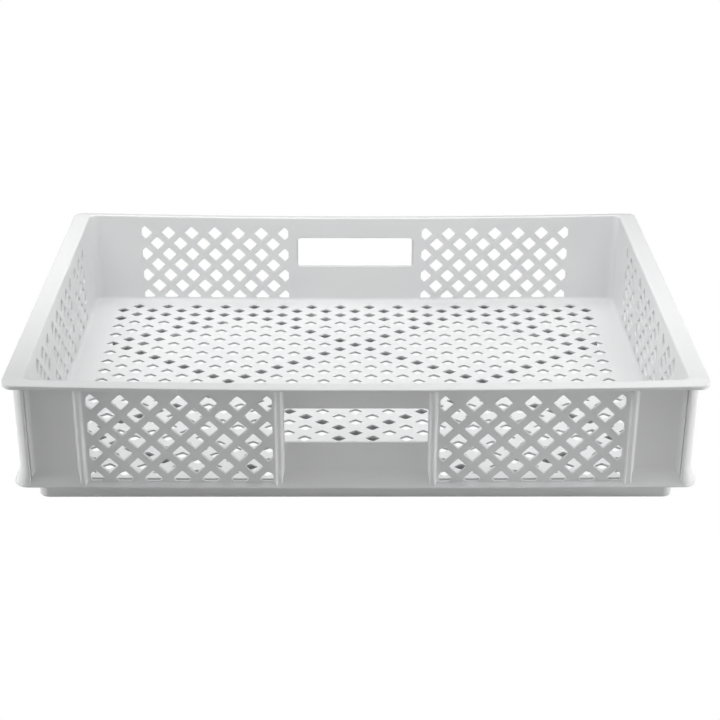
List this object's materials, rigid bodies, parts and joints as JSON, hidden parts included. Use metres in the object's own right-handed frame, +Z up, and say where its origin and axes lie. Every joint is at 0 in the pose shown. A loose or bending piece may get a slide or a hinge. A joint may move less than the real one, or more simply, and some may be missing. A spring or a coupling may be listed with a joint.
{
  "type": "ventilated stacking crate for poultry",
  "caption": "Shallow open stacking crate with diamond-mesh walls and floor, hand-holes in its long sides, a flanged rim and a recessed stacking foot.",
  "frame": {"origin": "middle of the footprint, on the ground", "axes": "+X along the long sides, +Y across towards the rear long side, +Z up"},
  "size_m": [0.6, 0.4, 0.12],
  "materials": {
    "polyethylene": "satin"
  },
  "bodies": {
    "root": {"base_ledge_front": "polyethylene", "base_ledge_left": "polyethylene", "base_ledge_rear": "polyethylene", "base_ledge_right": "polyethylene", "corner_post_front_left": "polyethylene", "corner_post_front_right": "polyethylene", "corner_post_rear_left": "polyethylene", "corner_post_rear_right": "polyethylene", "floor_grid": "polyethylene", "front_end_panel_left": "polyethylene", "front_end_panel_right": "polyethylene", "front_grip_bar": "polyethylene", "front_grip_rib_left": "polyethylene", "front_grip_rib_right": "polyethylene", "front_lower_panel": "polyethylene", "front_mesh_left": "polyethylene", "front_mesh_right": "polyethylene", "front_rib_left": "polyethylene", "front_rib_right": "polyethylene", "left_end_panel_front": "polyethylene", "left_end_panel_rear": "polyethylene", "left_mesh_front": "polyethylene", "left_mesh_middle": "polyethylene", "left_mesh_rear": "polyethylene", "left_rib_front": "polyethylene", "left_rib_rear": "polyethylene", "rear_end_panel_left": "polyethylene", "rear_end_panel_right": "polyethylene", "rear_grip_bar": "polyethylene", "rear_grip_rib_left": "polyethylene", "rear_grip_rib_right": "polyethylene", "rear_lower_panel": "polyethylene", "rear_mesh_left": "polyethylene", "rear_mesh_right": "polyethylene", "rear_rib_left": "polyethylene", "rear_rib_right": "polyethylene", "right_end_panel_front": "polyethylene", "right_end_panel_rear": "polyethylene", "right_mesh_front": "polyethylene", "right_mesh_middle": "polyethylene", "right_mesh_rear": "polyethylene", "right_rib_front": "polyethylene", "right_rib_rear": "polyethylene", "rim_corner_front_left": "polyethylene", "rim_corner_front_right": "polyethylene", "rim_corner_rear_left": "polyethylene", "rim_corner_rear_right": "polyethylene", "rim_front": "polyethylene", "rim_left": "polyethylene", "rim_rear": "polyethylene", "rim_right": "polyethylene", "stacking_foot_front": "polyethylene", "stacking_foot_left": "polyethylene", "stacking_foot_rear": "polyethylene", "stacking_foot_right": "polyethylene", "underside_ribs_front": "polyethylene", "underside_ribs_rear": "polyethylene"}
  },
  "joints": []
}
